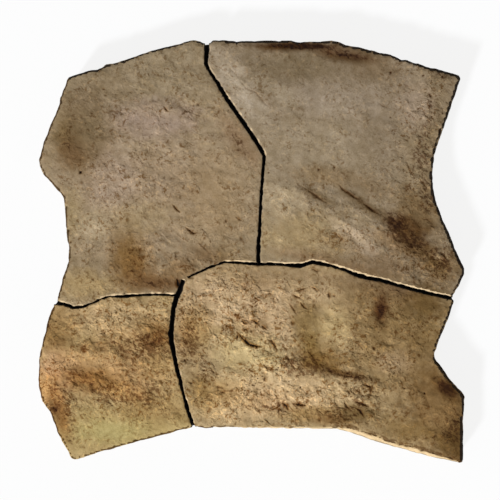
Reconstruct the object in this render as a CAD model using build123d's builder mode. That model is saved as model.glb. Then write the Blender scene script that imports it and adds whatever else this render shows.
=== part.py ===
from build123d import *
import os
from math import hypot

os.makedirs("parts", exist_ok=True)

# Flagstone slab cast in one piece. It lies flat, face up: +X to the right, +Y away, +Z up.
# All sizes are in millimetres and all points are (x, y) from the middle of the slab.
thickness = 50
edge_arris = 2.5  # bevel round the upper edge
corner_round = 6
tip_round = 14

# False joints between the four stone-shaped fields
joint_depth = 15
joint_arris = 1.5
joint_floor_share = 0.6  # the joint's floor is this part of its width
cut_clearance = 2  # how far a cut reaches above the face

# Worn upper edge along the lower-right field
worn_edge_height = 16
worn_edge_foot = 0.5  # reach at the lower end of the break
worn_edge_outside = 12  # how far the cut stands clear of the side

# Outline, counter-clockwise from the upper-left corner, as corners and the runs between them
top_left_corner = (-283, 269)
left_tip_run = [(-295, 238), (-297, 225), (-310, 196), (-323, 161)]
left_tip = (-329, 137)
left_foot_run = [(-321, 120)]
left_foot = (-296, 92)
left_upper_run = [(-289, 82), (-286, 40)]
hollow_top = (-284, 18)
hollow_middle = (-282, -4)
hollow_bottom = (-284, -20)
left_middle_run = [(-292, -46)]
left_joint_top = (-300, -75)
left_joint_bottom = (-305, -84)
left_joint_run = [(-312, -102)]
bulge_top = (-322, -138)
bulge_middle = (-329, -185)
bulge_bottom = (-323, -232)
left_lower_run = [(-311, -247), (-300, -278)]
bottom_left_corner = (-276, -323)
bottom_left_run = [(-233, -309), (-156, -288), (-102, -274)]
bottom_joint_left = (-93, -271)
bottom_joint_right = (-86, -271)
bottom_right_run = [(-71, -273), (-2, -273), (76, -275), (134, -276), (153, -281), (199, -297),
                    (246, -310), (276, -318), (307, -325)]
bottom_right_corner = (326, -328)
right_edge_run = [(327, -292), (327, -258)]
right_shoulder = (329, -224)
shoulder_run = [(297, -185)]
right_notch = (281, -162)
notch_run = [(290, -137), (303, -105)]
right_joint_bottom = (313, -77)
right_joint_top = (311, -68)
right_tip_run = [(320, -54)]
right_tip = (330, -29)
right_lower_run = [(321, -12), (309, 17)]
waist_bottom = (284, 79)
waist_middle = (280, 130)
waist_top = (293, 181)
right_upper_run = [(307, 221)]
top_right_corner = (324, 271)
top_right_run = [(269, 286), (241, 296), (232, 296), (215, 304), (184, 310), (170, 315),
                 (145, 319), (134, 324), (124, 326), (107, 324), (71, 323), (62, 326),
                 (29, 325), (-8, 325), (-23, 323), (-40, 326), (-60, 326)]
top_joint_right = (-65, 322)
top_joint_left = (-73, 322)
top_left_run = [(-80, 325), (-90, 327), (-100, 325), (-110, 321), (-159, 309), (-181, 301),
                (-199, 294), (-224, 288), (-238, 281), (-252, 279)]

# Joints as (x, y, width) along their middle, each running out past the edge that it meets
upper_joint = [(-69, 334, 8), (-69, 307, 7), (-70, 292, 6), (-66, 281, 4.5), (-52, 261, 5),
               (-38, 236, 6), (-19, 210, 6), (-2, 185, 6), (15, 159, 6), (20, 148, 5),
               (19, 134, 4), (15, 79, 4), (13, 32, 4), (11, 9, 5.5), (11, -19, 6)]
cross_joint = [(-99, -40, 2.5), (-86, -34, 3), (-69, -26, 2.5), (-51, -19, 2.5), (-42, -16, 2.5),
               (-17, -17, 3), (9, -19, 4), (32, -19, 4), (53, -20, 4), (62, -21, 5.5),
               (74, -22, 6), (85, -19, 4.5), (94, -16, 5), (107, -18, 5.5), (124, -22, 3.5),
               (145, -28, 4), (161, -35, 6), (178, -40, 6), (199, -44, 4.5), (218, -49, 4.5),
               (238, -55, 4.5), (261, -61, 4.5), (286, -67, 4.5), (311, -72, 5), (334, -76, 5)]
left_joint = [(-320, -82, 8), (-300, -79, 6), (-290, -81, 4.5), (-276, -86, 4), (-261, -85, 3.5),
              (-250, -81, 2.5), (-233, -73, 3), (-218, -69, 2.5), (-199, -69, 3.5),
              (-171, -67, 3), (-144, -66, 3), (-125, -67, 3), (-113, -68, 4)]
lower_joint = [(-105, -44, 6), (-109, -56, 7), (-114, -68, 7.5), (-120, -85, 7), (-122, -103, 6),
               (-124, -127, 7.5), (-123, -142, 7), (-119, -162, 5), (-114, -184, 6.5),
               (-110, -199, 5), (-105, -221, 3.5), (-101, -235, 5), (-97, -249, 4.5),
               (-93, -261, 4.5), (-90, -270, 6), (-87, -288, 7)]

# Worn edge as (x, y, reach into the face) along the outline
worn_edge = [(-60, -273, 3), (76, -275, 4), (134, -276, 5), (153, -281, 8), (184, -291, 10),
             (215, -301, 7), (246, -310, 9), (276, -318, 8), (307, -325, 6), (322, -327, 3)]


def offset_run(stations, distances):
    # The stations moved to the left of the way they run, each by its own distance
    moved = []
    last = len(stations) - 1
    for index, station in enumerate(stations):
        before = stations[max(index - 1, 0)]
        after = stations[min(index + 1, last)]
        run_x = after[0] - before[0]
        run_y = after[1] - before[1]
        length = hypot(run_x, run_y)
        x = station[0] - run_y / length * distances[index]
        y = station[1] + run_x / length * distances[index]
        moved.append((x, y))
    return moved


def strip(stations, left, right):
    # Closed ribbon between a left and a right distance from the stations
    near_side = offset_run(stations, left)
    far_side = offset_run(stations, [-distance for distance in right])
    return near_side + far_side[::-1]


def cut_levels(levels):
    # Takes out the space through closed outlines, each given as (height, points)
    sections = []
    for height, points in levels:
        with BuildSketch(Plane.XY.offset(height)) as level:
            with BuildLine():
                Polyline(*points, close=True)
            make_face()
        sections.append(level.sketch.face())
    loft(sections, ruled=True, mode=Mode.SUBTRACT)


def cut_joint(stations):
    # Tapering groove with a bevelled mouth
    half = [width / 2 for x, y, width in stations]
    floor = [distance * joint_floor_share for distance in half]
    flare = joint_arris + cut_clearance
    mouth = [distance + flare for distance in half]
    arris_height = thickness - joint_arris
    cut_levels([(thickness - joint_depth, strip(stations, floor, floor)),
                (arris_height, strip(stations, half, half))])
    cut_levels([(arris_height, strip(stations, half, half)),
                (thickness + cut_clearance, strip(stations, mouth, mouth))])


def wear_edge(stations):
    # Broken-off arris: almost nothing at its foot, the stated reach at the face
    foot = [worn_edge_foot for x, y, reach in stations]
    overshoot = 1 + cut_clearance / worn_edge_height
    reach_above = [reach * overshoot for x, y, reach in stations]
    outside = [worn_edge_outside for x, y, reach in stations]
    cut_levels([(thickness - worn_edge_height, strip(stations, foot, outside)),
                (thickness + cut_clearance, strip(stations, reach_above, outside))])


with BuildSketch() as bed_outline:
    with BuildLine():
        Polyline(top_left_corner, *left_tip_run, left_tip, *left_foot_run, left_foot,
                 *left_upper_run, hollow_top)
        ThreePointArc(hollow_top, hollow_middle, hollow_bottom)
        Polyline(hollow_bottom, *left_middle_run, left_joint_top, left_joint_bottom,
                 *left_joint_run, bulge_top)
        ThreePointArc(bulge_top, bulge_middle, bulge_bottom)
        Polyline(bulge_bottom, *left_lower_run, bottom_left_corner, *bottom_left_run,
                 bottom_joint_left, bottom_joint_right, *bottom_right_run, bottom_right_corner,
                 *right_edge_run, right_shoulder, *shoulder_run, right_notch, *notch_run,
                 right_joint_bottom, right_joint_top, *right_tip_run, right_tip,
                 *right_lower_run, waist_bottom)
        ThreePointArc(waist_bottom, waist_middle, waist_top)
        Polyline(waist_top, *right_upper_run, top_right_corner, *top_right_run,
                 top_joint_right, top_joint_left, *top_left_run, top_left_corner)
    make_face()
    for corner in (top_left_corner, top_right_corner, bottom_right_corner, bottom_left_corner,
                   right_shoulder):
        fillet(bed_outline.vertices().sort_by_distance(corner)[0], radius=corner_round)
    for corner in (right_tip, right_notch, left_tip):
        fillet(bed_outline.vertices().sort_by_distance(corner)[0], radius=tip_round)

with BuildPart() as flagstone_slab:
    add(bed_outline.sketch)
    extrude(amount=thickness)
    face_edges = flagstone_slab.faces().sort_by(Axis.Z)[-1].edges()
    chamfer(face_edges, length=edge_arris)
    for stations in (upper_joint, cross_joint, left_joint, lower_joint):
        cut_joint(stations)
    wear_edge(worn_edge)

flagstone_slab.part.label = "flagstone_slab"
export_step(flagstone_slab.part, "parts/flagstone_slab.step")

print(flagstone_slab.part.bounding_box())
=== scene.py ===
import math
from functools import partial
import bmesh
import bpy
import numpy as np
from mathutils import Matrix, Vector, kdtree, noise


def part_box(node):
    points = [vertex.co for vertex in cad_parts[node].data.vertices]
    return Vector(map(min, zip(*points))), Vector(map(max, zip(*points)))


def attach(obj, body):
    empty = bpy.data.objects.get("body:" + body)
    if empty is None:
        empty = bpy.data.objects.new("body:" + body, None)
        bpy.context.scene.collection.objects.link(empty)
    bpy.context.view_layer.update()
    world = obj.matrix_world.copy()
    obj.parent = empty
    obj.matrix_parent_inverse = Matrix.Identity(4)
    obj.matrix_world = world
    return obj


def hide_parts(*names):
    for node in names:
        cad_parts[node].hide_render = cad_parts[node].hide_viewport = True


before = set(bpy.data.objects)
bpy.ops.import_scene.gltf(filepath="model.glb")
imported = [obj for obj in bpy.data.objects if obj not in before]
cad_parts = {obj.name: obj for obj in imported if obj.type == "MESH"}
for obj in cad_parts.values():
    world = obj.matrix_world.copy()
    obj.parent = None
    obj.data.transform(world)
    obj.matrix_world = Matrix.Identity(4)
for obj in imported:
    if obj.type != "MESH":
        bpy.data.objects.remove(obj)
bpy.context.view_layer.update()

mm = 0.001


def stage(text):
    print("scene:", text, flush=True)


def linearColor(hexText):
    parts = [int(hexText[i:i + 2], 16) / 255 for i in (1, 3, 5)]
    lin = [c / 12.92 if c <= 0.04045 else ((c + 0.055) / 1.055) ** 2.4 for c in parts]
    return (*lin, 1.0)


# camera looking straight down, so that one pixel of a 500 pixel frame is 1.544 mm at the face
view = {"pixel": 1.5444 * mm, "frame": 500, "lens": 85, "sensor": 36, "clip": 20,
        "center": (-2.3 * mm, 2.3 * mm),
        "photoMiddle": 251}  # the slab's middle in the photo, in pixels across and down


def addCamera():
    width = view["pixel"] * view["frame"]
    data = bpy.data.cameras.new("camera")
    data.lens = view["lens"]
    data.sensor_width = view["sensor"]
    data.clip_end = view["clip"]
    camera = bpy.data.objects.new("camera", data)
    height = slab["top"] + width * view["lens"] / view["sensor"]
    camera.location = (view["center"][0], view["center"][1], height)
    bpy.context.scene.collection.objects.link(camera)
    bpy.context.scene.camera = camera
    bpy.context.scene.view_settings.view_transform = "Standard"


def addNode(tree, kind, settings=None, inputs=None, output=0):
    # each input is a value or another node's output; hands on the output named or numbered
    node = tree.nodes.new("ShaderNode" + kind)
    for name, value in (settings or {}).items():
        setattr(node, name, value)
    for name, value in (inputs or {}).items():
        socket = node.inputs[name]
        if isinstance(value, bpy.types.NodeSocket):
            tree.links.new(value, socket)
        else:
            socket.default_value = value
    return node.outputs[output] if len(node.outputs) else node


# the slab's mesh: its cells, the levels that its sides are cut at, and how near counts as there
slab = {"node": "flagstone_slab", "top": 50 * mm, "jointFloor": 35 * mm, "cell": 2.8 * mm,
        "levels": [level * mm for level in (6, 12, 18, 24, 30, 35.5, 40, 44.5)],
        "seam": 0.01 * mm, "sliver": 0.12 * mm, "onCut": 0.001 * mm, "flatAngle": 0.5,
        "sharpAngle": 48, "faceSlack": 0.05 * mm, "floorSlack": 0.4 * mm, "jointReach": 5 * mm,
        "seed": Vector((3.1, 7.7, 1.3))}


def reachesPast(part, axis, place):
    slack = slab["onCut"] / 10
    if isinstance(part, bmesh.types.BMVert):
        return part.co[axis] > place - slack
    return any(v.co[axis] > place + slack for v in part.verts)


def cutAcross(bm, axis, places):
    # sweeps along the axis and hands on only what is still uncut
    active = bm.verts[:] + bm.edges[:] + bm.faces[:]
    for place in places:
        point = Vector((0, 0, 0))
        point[axis] = place
        across = Vector((0, 0, 0))
        across[axis] = 1
        cut = bmesh.ops.bisect_plane(bm, geom=active, dist=slab["onCut"], plane_co=point,
                                     plane_no=across)
        active = [part for part in cut["geom"] if reachesPast(part, axis, place)]


def steps(low, high, step):
    count = int((high - low) / step)
    offset = ((high - low) - count * step) / 2
    return [low + offset + step * i for i in range(count + 1)]


def dicedSlab():
    low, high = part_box(slab["node"])
    bm = bmesh.new()
    bm.from_mesh(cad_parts[slab["node"]].data)
    bmesh.ops.remove_doubles(bm, verts=bm.verts[:], dist=slab["seam"])
    bmesh.ops.dissolve_limit(bm, angle_limit=math.radians(slab["flatAngle"]), verts=bm.verts[:],
                             edges=bm.edges[:])
    bed = [f for f in bm.faces if f.normal.z < -0.9
           and f.calc_center_median().z < 2 * slab["faceSlack"]]
    bmesh.ops.delete(bm, geom=bed, context="FACES_ONLY")
    cutAcross(bm, 0, steps(low.x, high.x, slab["cell"]))
    cutAcross(bm, 1, steps(low.y, high.y, slab["cell"]))
    cutAcross(bm, 2, slab["levels"])
    bmesh.ops.remove_doubles(bm, verts=bm.verts[:], dist=slab["sliver"])
    stage(f"{len(bm.verts)} points, {len(bm.faces)} faces")
    return bm


# relief of the face, placed in pixels of the 500 pixel photo
# lumps, or dents below 0: (x, y, half length, half width, turn, height in face["lumps"])
lumps = [
    (147, 97, 6, 2.5, 0, 0.6), (160, 95, 5, 2.5, 0, 0.6), (135, 102, 6, 2, 0, -0.6),
    (194, 103, 7, 2.5, 0, -0.7), (148, 114, 5, 2, 0, 0.5), (142, 134, 7, 4, 0, 0.4),
    (121, 121, 8, 3, 0, -0.5), (149, 133, 4, 1.8, 0, -0.4), (161, 134, 4, 1.8, 0, -0.4),
    (176, 111, 5, 2.5, 0, 0.5), (185, 112, 6, 2.5, -20, 0.4), (205, 120, 8, 3, -30, -0.4),
    (215, 108, 5, 2.5, -30, -0.4),
    (338, 219, 9, 1.8, -25, 0.6), (351, 227, 8, 1.8, -45, 0.7), (318, 205, 10, 2.0, -20, 0.6),
    (207, 240, 13, 2.2, -50, 0.6), (168, 106, 6, 1.6, -45, 0.8), (147, 203, 6, 1.4, -52, 0.4),
    (150, 105, 16, 6, 10, 0.5), (175, 112, 14, 5, -20, 0.4), (135, 95, 10, 5, 0, -0.4),
    (240, 75, 22, 5, -45, -0.5), (306, 196, 16, 4.0, -32, 0.6), (318, 190, 18, 3, -35, -0.4),
    (356, 206, 18, 4.0, -35, 0.7), (352, 190, 16, 3, -35, -0.4), (286, 192, 10, 5, -20, 0.6),
    (326, 211, 12, 4.0, -20, 0.8), (347, 222, 11, 4.0, -40, 0.6), (362, 237, 10, 4, -50, 0.6),
    (380, 250, 14, 5, -30, 0.5), (333, 226, 14, 4.0, -35, -0.35), (352, 238, 9, 3.5, -30, -0.4),
    (400, 225, 14, 7, -35, -0.7), (412, 242, 16, 4, -20, -0.5), (443, 257, 3.5, 2.0, -30, 1.2),
    (382, 108, 10, 2.5, -20, 0.6), (443, 131, 4.5, 2.4, -30, -2.6), (290, 46, 30, 3, 0, -0.8),
    (352, 58, 22, 4, -8, -0.9), (300, 292, 16, 6, -30, 0.4), (314, 303, 12, 4, -35, -0.5),
    (292, 305, 4, 9, -25, 0.5), (254, 333, 15, 10, -15, 0.9), (255, 352, 14, 5, -25, 0.5),
    (272, 358, 12, 6, -35, 0.6), (286, 360, 6, 5, -45, -0.8), (311, 360, 8, 7, -30, -0.35),
    (344, 372, 20, 3.5, -14, -0.5), (350, 366, 12, 2.5, -25, 0.7), (360, 398, 14, 3, -10, 0.9),
    (366, 410, 8, 3, -30, 0.6), (357, 388, 12, 6, 0, -0.7), (283, 392, 26, 7, -5, 0.6),
    (270, 405, 22, 5, 0, -0.6), (300, 396, 14, 3, 0, 0.7), (345, 412, 6, 8, 20, -0.5),
    (420, 425, 26, 12, 0, 0.5), (445, 388, 14, 6, 0, -0.6), (381, 312, 6, 12, 0, -0.7),
    (115, 310, 20, 6, -25, 0.6), (90, 350, 24, 8, -10, 0.5), (86, 384, 22, 5, -10, -0.6),
    (55, 408, 6, 14, 25, -0.6), (178.5, 281.5, 2.0, 1.0, 70, 1.0), (205, 335, 16, 8, -40, -0.4),
]
# cracks: (depth in face["cracks"], half width in pixels, the places that it runs through)
cracks = [
    (0.5, 1.6, [(326, 178), (338, 184), (349, 193), (362, 202), (380, 214), (397, 223)]),
    (3.0, 1.3, [(176.5, 279), (178.5, 288)]),
    (1.1, 0.9, [(172, 204), (177, 210), (180, 212)]), (0.4, 0.8, [(181, 216), (183, 222)]),
    (1.2, 0.9, [(185, 227), (189, 230), (193, 233), (198, 232)]),
    (0.6, 0.8, [(196, 239), (201, 245), (206, 249), (209, 255)]),
    (1.0, 0.9, [(235, 216), (238, 219), (242, 220)]), (0.8, 1.0, [(225, 219), (226, 223)]),
    (0.8, 1.0, [(240, 236), (241, 240)]), (0.6, 0.9, [(218, 249), (224, 247), (232, 244)]),
    (0.7, 0.7, [(175, 251), (176, 261)]), (0.5, 0.9, [(142, 213), (145, 217), (148, 220)]),
    (0.5, 0.8, [(133, 188), (141, 190)]), (1.0, 0.9, [(163, 105), (166, 110), (169, 111)]),
    (0.8, 1.1, [(91, 278), (94, 280)]), (0.4, 1.0, [(93, 229), (99, 228)]),
    (0.8, 0.9, [(101, 88), (105, 89)]), (0.7, 0.9, [(103, 94), (107, 95)]),
    (0.7, 1.1, [(89, 112), (92, 113)]), (0.4, 0.8, [(228, 185), (231, 191)]),
    (0.35, 0.7, [(228, 194), (231, 210)]), (0.4, 1.0, [(127, 208), (124, 206)]),
    (0.8, 1.2, [(302, 186), (308, 190), (314, 194), (320, 199), (329, 204)]),
    (1.1, 1.1, [(338, 184), (342, 189), (349, 193), (354, 197), (360, 200)]),
    (1.1, 1.0, [(362, 202), (367, 206), (372, 210), (379, 214)]),
    (0.5, 1.0, [(240, 80), (246, 88), (256, 92), (260, 98), (264, 103), (272, 108)]),
    (0.35, 0.9, [(228, 66), (234, 72), (239, 78)]), (0.4, 0.8, [(289, 127), (297, 132)]),
    (0.5, 0.9, [(377, 101), (382, 105), (390, 108)]),
    (0.8, 0.8, [(406, 161), (410, 170), (412, 174), (417, 177)]),
    (0.8, 0.9, [(420, 180), (424, 184), (427, 189)]), (0.6, 0.9, [(409, 184), (411, 190)]),
    (0.8, 1.0, [(428, 92), (432, 98)]), (0.7, 0.9, [(421, 218), (427, 219), (432, 223)]),
    (0.9, 0.9, [(441, 252), (447, 259)]), (0.6, 0.9, [(424, 113), (427, 118)]),
    (0.6, 0.9, [(433, 108), (441, 110)]), (0.6, 0.9, [(425, 130), (431, 134)]),
    (0.7, 0.8, [(336, 234), (341, 239)]), (0.5, 0.8, [(418, 203), (424, 208)]),
    (1.3, 0.9, [(241, 320), (244, 323), (248, 323)]), (1.3, 0.9, [(250, 320), (254, 321), (259, 325)]),
    (1.3, 1.0, [(261, 325), (266, 329)]), (0.8, 1.0, [(245, 328), (242, 331)]),
    (2.0, 1.2, [(237, 332), (242, 338), (249, 344), (256, 346), (261, 346)]),
    (1.1, 1.0, [(238, 333), (236, 340)]), (1.4, 1.1, [(267, 339), (271, 341), (274, 345), (277, 350)]),
    (0.7, 1.2, [(284, 354), (288, 358), (291, 364), (296, 370)]), (1.0, 1.2, [(282, 362), (281, 367)]),
    (0.7, 1.0, [(303, 351), (309, 352), (313, 357), (316, 362), (320, 368)]),
    (0.5, 1.2, [(302, 362), (305, 371)]), (1.0, 0.9, [(263, 364), (266, 368), (268, 371)]),
    (1.1, 1.2, [(291, 320), (292, 326)]), (0.7, 1.1, [(290, 329), (290, 332)]),
    (0.8, 1.1, [(289, 345), (292, 346)]), (0.8, 1.2, [(262, 378), (266, 381)]),
    (0.7, 1.0, [(246, 399), (252, 399)]), (0.7, 1.0, [(243, 403), (247, 408), (251, 410)]),
    (0.8, 1.0, [(256, 407), (259, 412), (260, 415)]), (0.9, 1.1, [(272, 405), (274, 410)]),
    (1.5, 1.2, [(282, 402), (286, 406), (288, 410)]), (1.3, 1.1, [(292, 403), (297, 404), (306, 405)]),
    (0.5, 0.9, [(265, 404), (268, 408)]), (0.7, 1.0, [(221, 328), (225, 329)]),
    (1.0, 0.9, [(294, 291), (301, 289), (307, 287)]), (1.0, 0.9, [(292, 293), (295, 296), (301, 298)]),
    (0.9, 0.9, [(309, 286), (314, 288), (318, 292)]), (0.8, 0.9, [(288, 302), (293, 309), (297, 315)]),
    (1.2, 0.8, [(300, 302), (303, 306), (307, 309)]), (0.9, 1.2, [(328, 291), (329, 299)]),
    (0.8, 1.1, [(332, 294), (335, 297)]), (0.8, 1.0, [(310, 267), (316, 271), (321, 270)]),
    (0.9, 1.1, [(180, 309), (184, 314)]), (0.5, 0.9, [(241, 282), (243, 288), (241, 294)]),
    (0.5, 0.9, [(213, 300), (219, 301)]), (0.6, 1.0, [(354, 342), (359, 344), (363, 350)]),
    (0.9, 1.1, [(373, 345), (374, 350)]), (0.7, 1.1, [(359, 366), (362, 367)]),
    (1.2, 1.0, [(361, 384), (366, 385), (371, 387), (370, 392), (369, 397)]),
    (0.9, 1.0, [(357, 390), (361, 393)]), (0.8, 1.0, [(347, 389), (350, 394)]),
    (1.4, 0.9, [(354, 401), (360, 403), (369, 406)]), (1.3, 0.9, [(355, 407), (360, 411), (364, 417)]),
    (0.9, 1.0, [(344, 402), (347, 407), (352, 411)]), (0.8, 1.0, [(352, 412), (357, 416)]),
    (0.8, 0.9, [(370, 404), (377, 406)]), (0.7, 0.9, [(368, 414), (374, 417)]),
    (0.6, 1.2, [(327, 370), (336, 373), (345, 376), (357, 377)]), (0.8, 1.0, [(338, 384), (342, 382)]),
    (0.7, 1.0, [(424, 438), (428, 437)]), (0.7, 1.0, [(432, 438), (437, 434)]),
    (0.9, 1.2, [(318, 417), (320, 422)]), (0.7, 1.0, [(328, 415), (333, 418)]),
    (0.5, 1.0, [(322, 409), (327, 413)]), (0.6, 0.9, [(199, 351), (203, 359)]),
    (0.8, 0.9, [(210, 368), (215, 374)]), (0.8, 1.1, [(215, 386), (220, 388)]),
    (0.9, 1.0, [(219, 392), (226, 392)]), (0.8, 1.2, [(99, 370), (103, 374)]),
    (0.8, 1.1, [(155, 374), (160, 371)]), (0.8, 1.2, [(70, 381), (79, 385)]),
    (0.7, 1.1, [(88, 389), (97, 390)]), (0.7, 0.9, [(102, 416), (105, 420)]),
    (0.7, 1.0, [(138, 346), (150, 343), (160, 342), (164, 348)]), (0.7, 0.9, [(118, 343), (124, 350)]),
    (0.6, 0.9, [(120, 332), (126, 336)]), (0.7, 1.0, [(100, 330), (106, 334)]),
    (0.8, 1.2, [(52, 405), (55, 413)]), (0.6, 1.0, [(146, 399), (151, 402)]),
    (0.5, 1.0, [(88, 400), (93, 404)]), (0.6, 1.0, [(66, 439), (72, 441)]),
]
# single holes: (x, y, radius in pixels, depth in face["cracks"])
holes = [
    (442, 131, 2.6, 3.2),
    (80, 172, 1.3, 2.0), (104, 163, 1.2, 0.6), (197, 104, 1.8, 0.7), (214, 143, 1.6, 0.7),
    (228, 110, 1.3, 0.6), (390, 72, 1.3, 1.0), (318, 169, 1.2, 0.9), (334, 167, 1.2, 1.0),
    (371, 184, 1.2, 0.8), (309, 150, 1.3, 0.6), (268, 172, 1.2, 0.8), (390, 117, 1.3, 0.7),
    (407, 112, 1.0, 0.6), (424, 393, 1.0, 1.8), (184, 360, 1.0, 1.4), (194, 401, 1.0, 1.3),
    (191, 383, 1.2, 0.8), (113, 394, 1.2, 1.0), (182, 318, 1.0, 0.8), (404, 388, 1.4, 0.8),
    (251, 331, 1.2, 0.8), (300, 387, 1.0, 1.0), (287, 391, 1.2, 0.8), (70, 242, 1.3, 0.9),
    (75, 253, 1.0, 0.7), (79, 238, 1.0, 0.6), (442, 76, 1.2, 0.9), (431, 101, 1.1, 0.8),
    (418, 108, 1.4, 0.8), (423, 75, 1.4, 0.8), (442, 113, 1.1, 0.8), (428, 147, 1.3, 0.8),
    (409, 137, 1.1, 0.7), (428, 322, 1.2, 0.6), (412, 336, 1.4, 0.8), (425, 342, 1.2, 0.7),
    (286, 348, 1.3, 0.6), (264, 378, 1.6, 0.9), (241, 380, 1.2, 0.7), (203, 162, 1.2, 0.4),
]
# patches of rougher stone, or smoother below 0: (x, y, half width, half height, turn, strength)
roughPatches = [
    (230, 358, 26, 16, -25, -0.45), (290, 272, 40, 8, -8, -0.3), (215, 312, 16, 12, 0, -0.3),
    (345, 330, 22, 16, 0, -0.2), (400, 412, 30, 20, 0, -0.15), (120, 432, 40, 14, 0, -0.1),
    (140, 110, 70, 60, 0, 0.22), (150, 200, 70, 70, 0, 0.20), (160, 258, 80, 30, 0, 0.28),
    (425, 150, 28, 90, -8, 0.55), (335, 225, 70, 30, -15, 0.34), (430, 265, 35, 28, 0, 0.55),
    (115, 325, 60, 25, 0, 0.66), (105, 378, 75, 38, 0, 0.62), (230, 310, 60, 40, 0, 0.78),
    (265, 378, 70, 40, 0, 0.80), (275, 412, 90, 16, 0, 0.40), (380, 350, 50, 60, 0, 0.55),
    (440, 420, 30, 50, 0, 0.28), (357, 402, 26, 22, 0, 0.7), (300, 298, 45, 26, -15, 0.25),
]
# middle of the false joints, in pixels of the photo: y by x across the slab, x by y up and down it
acrossLine = [(44, 304), (57, 302), (72, 307), (89, 303), (100, 298), (110, 296), (176, 295),
              (187, 277), (218, 263), (257, 263), (299, 265), (312, 261), (331, 265), (366, 277),
              (420, 290), (467, 300)]
upperLine = [(35, 206), (69, 208), (98, 226), (131, 250), (155, 264), (200, 261), (263, 258)]
lowerLine = [(279, 183), (295, 177), (318, 172), (333, 171), (356, 174), (394, 183), (420, 191),
             (437, 195)]
# heights and depths of the relief, and how far noise pushes the marks about
face = {"broad": 1.2 * mm, "swell": 0.9 * mm, "ledge": 0.35 * mm, "grit": 0.9 * mm, "dent": 1.5 * mm,
        "lumps": 1.4 * mm, "cracks": 0.8 * mm, "sink": 1.2 * mm, "ripple": 2.0 * mm,
        "wander": 3.5 * mm, "jitter": 1.4 * mm}
# noise of the relief, the tints and the lips' painted highlight, in cycles a metre
cycles = {"broad": 6, "swell": 17, "ledge": 30, "ledgeShare": 22, "grit": 110, "dent": 42,
          "ripple": 70, "wander": 26, "jitter": 400, "broken": 230, "chip": 55, "smallChip": 140,
          "side": 60, "worn": 90, "joint": 75, "smallJoint": 200, "lip": 120, "tintEdge": 160}
# edges: how much they wave, chip and are rubbed round, and how far in from them that reaches
edge = {"grow": 0.8 * mm, "sideWave": 1.2 * mm, "sideChip": 1.0 * mm, "chip": 2.0 * mm,
        "wornWave": 1.5 * mm, "jointWave": 2.0 * mm, "round": 0.8 * mm, "jointRound": 0.5 * mm,
        # the last is how far the lips' painted highlight reaches onto the face
        "chipReach": 6 * mm, "roundReach": 5 * mm, "jointRoundReach": 4 * mm, "lipHighlightReach": 1.9 * mm,
        # the reach of the painted shade above the worn edge, and the depth over which the joints'
        # painted shade turns black
        "undercutReach": (7.5 * mm, 2.5 * mm), "jointShadeDepth": 10 * mm,
        # heights above the bed, from where a look starts to where it is full
        "reliefFrom": 15 * mm, "chipFrom": 38 * mm, "mouth": 46 * mm, "plain": (45 * mm, 28 * mm),
        "wornFoot": 34.5 * mm, "wornShine": (48 * mm, 39 * mm),
        # places from the slab's middle, the last two where the joints' painted shade and the lips'
        # painted highlight grow stronger
        "wornLeft": -60 * mm, "wornBack": -265 * mm, "right": 110 * mm,
        "shadeFrom": (-90 * mm, -40 * mm), "lipHighlightFrom": (20 * mm, 120 * mm)}


def fromPhoto(x, y):
    return ((x - view["photoMiddle"]) * view["pixel"], (view["photoMiddle"] - y) * view["pixel"])


def toPhoto(x, y):
    return (view["photoMiddle"] + x / view["pixel"], view["photoMiddle"] - y / view["pixel"])


def inEllipse(x, y, place, halfSizes, turn):
    # the points x, y as shares of a turned ellipse's half sizes, which are in pixels of the photo
    middleX, middleY = fromPhoto(*place)
    cosine = math.cos(math.radians(turn))
    sine = math.sin(math.radians(turn))
    along = ((x - middleX) * cosine + (y - middleY) * sine) / (halfSizes[0] * view["pixel"])
    across = ((y - middleY) * cosine - (x - middleX) * sine) / (halfSizes[1] * view["pixel"])
    return along, across


def markSum(marks, x, y):
    # sum of soft ellipses at the points x, y, both arrays in metres
    total = np.zeros(len(x))
    for placeX, placeY, length, width, turn, amount in marks:
        along, across = inEllipse(x, y, (placeX, placeY), (length, width), turn)
        total += amount * np.exp(-np.minimum(along * along + across * across, 30.0))
    return total


def smooth(low, high, value):
    # eases from 0 at low to 1 at high; low may be the larger
    share = np.clip((value - low) / (high - low), 0.0, 1.0)
    return share * share * (3 - 2 * share)


def crackDepth(x, y, spread=1.0):
    # depth of the cracks and holes at the points x, y, in face["cracks"]
    depth = np.zeros(len(x))
    for deep, wide, places in cracks:
        spots = np.array([fromPhoto(*place) for place in places])
        runs = np.hypot(*(spots[1:] - spots[:-1]).T)
        total = runs.sum()
        far = np.full(len(x), 1.0)
        along = np.zeros(len(x))
        gone = 0.0
        for start, end, run in zip(spots[:-1], spots[1:], runs):
            wayX, wayY = end - start
            fromX, fromY = x - start[0], y - start[1]
            share = np.clip((fromX * wayX + fromY * wayY) / run ** 2, 0.0, 1.0)
            away = np.hypot(fromX - share * wayX, fromY - share * wayY)
            closer = away < far
            far = np.where(closer, away, far)
            along = np.where(closer, (gone + share * run) / total, along)
            gone += run
        # narrower and shallower towards its ends
        taper = 0.45 + 0.55 * np.sin(np.pi * along)
        width = 0.85 * spread * wide * taper * view["pixel"]
        depth = np.maximum(depth, deep * taper * np.exp(-(far / width) ** 2))
    for placeX, placeY, radius, deep in holes:
        middleX, middleY = fromPhoto(placeX, placeY)
        far = np.hypot(x - middleX, y - middleY)
        depth = np.maximum(depth, deep * np.exp(-(far / (radius * view["pixel"])) ** 2))
    return depth


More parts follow.
